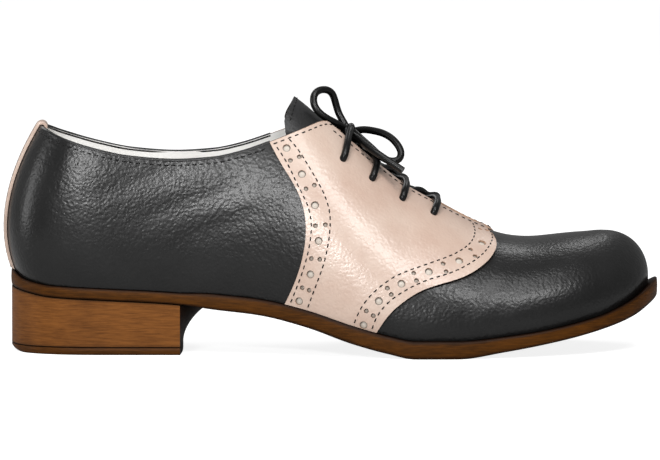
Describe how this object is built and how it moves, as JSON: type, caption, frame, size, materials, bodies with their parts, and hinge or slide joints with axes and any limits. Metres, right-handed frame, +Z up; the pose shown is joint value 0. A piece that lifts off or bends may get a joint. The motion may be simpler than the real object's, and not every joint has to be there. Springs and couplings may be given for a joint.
{
  "type": "saddle shoe",
  "caption": "Right saddle shoe: black quarters and vamp, punched cream saddle and heel strip, round lace in a bow, brown leather sole and stacked heel",
  "frame": {"origin": "on the floor, in the middle of the flat ground contact of the heel", "axes": "+X from heel to toe, +Z up, -Y to the outer (lateral) side of this right shoe"},
  "size_m": [0.2852, 0.0993, 0.1148],
  "materials": {
    "black_leather": "smooth black calf, soft shine",
    "cream_leather": "pinkish cream calf, semi-gloss",
    "sole_leather": "brown waxed sole leather",
    "heel_stack": "lighter brown stacked leather, waxed edge",
    "top_piece": "dark brown top piece",
    "insole_leather": "plain pale sock lining",
    "lace_cord": "round waxed black lace"
  },
  "bodies": {
    "root": {"heel_block": "heel_stack", "heel_strip": "cream_leather", "heel_top_piece": "top_piece", "insole": "insole_leather", "lace_crossing_front": "lace_cord", "lace_crossing_middle": "lace_cord", "lace_crossing_rear": "lace_cord", "lace_end_lateral": "lace_cord", "lace_end_medial": "lace_cord", "lace_knot": "lace_cord", "lace_loop_front": "lace_cord", "lace_loop_rear": "lace_cord", "outsole": "sole_leather", "saddle_lateral": "cream_leather", "saddle_medial": "cream_leather", "tongue": "black_leather", "upper": "black_leather"}
  },
  "joints": []
}
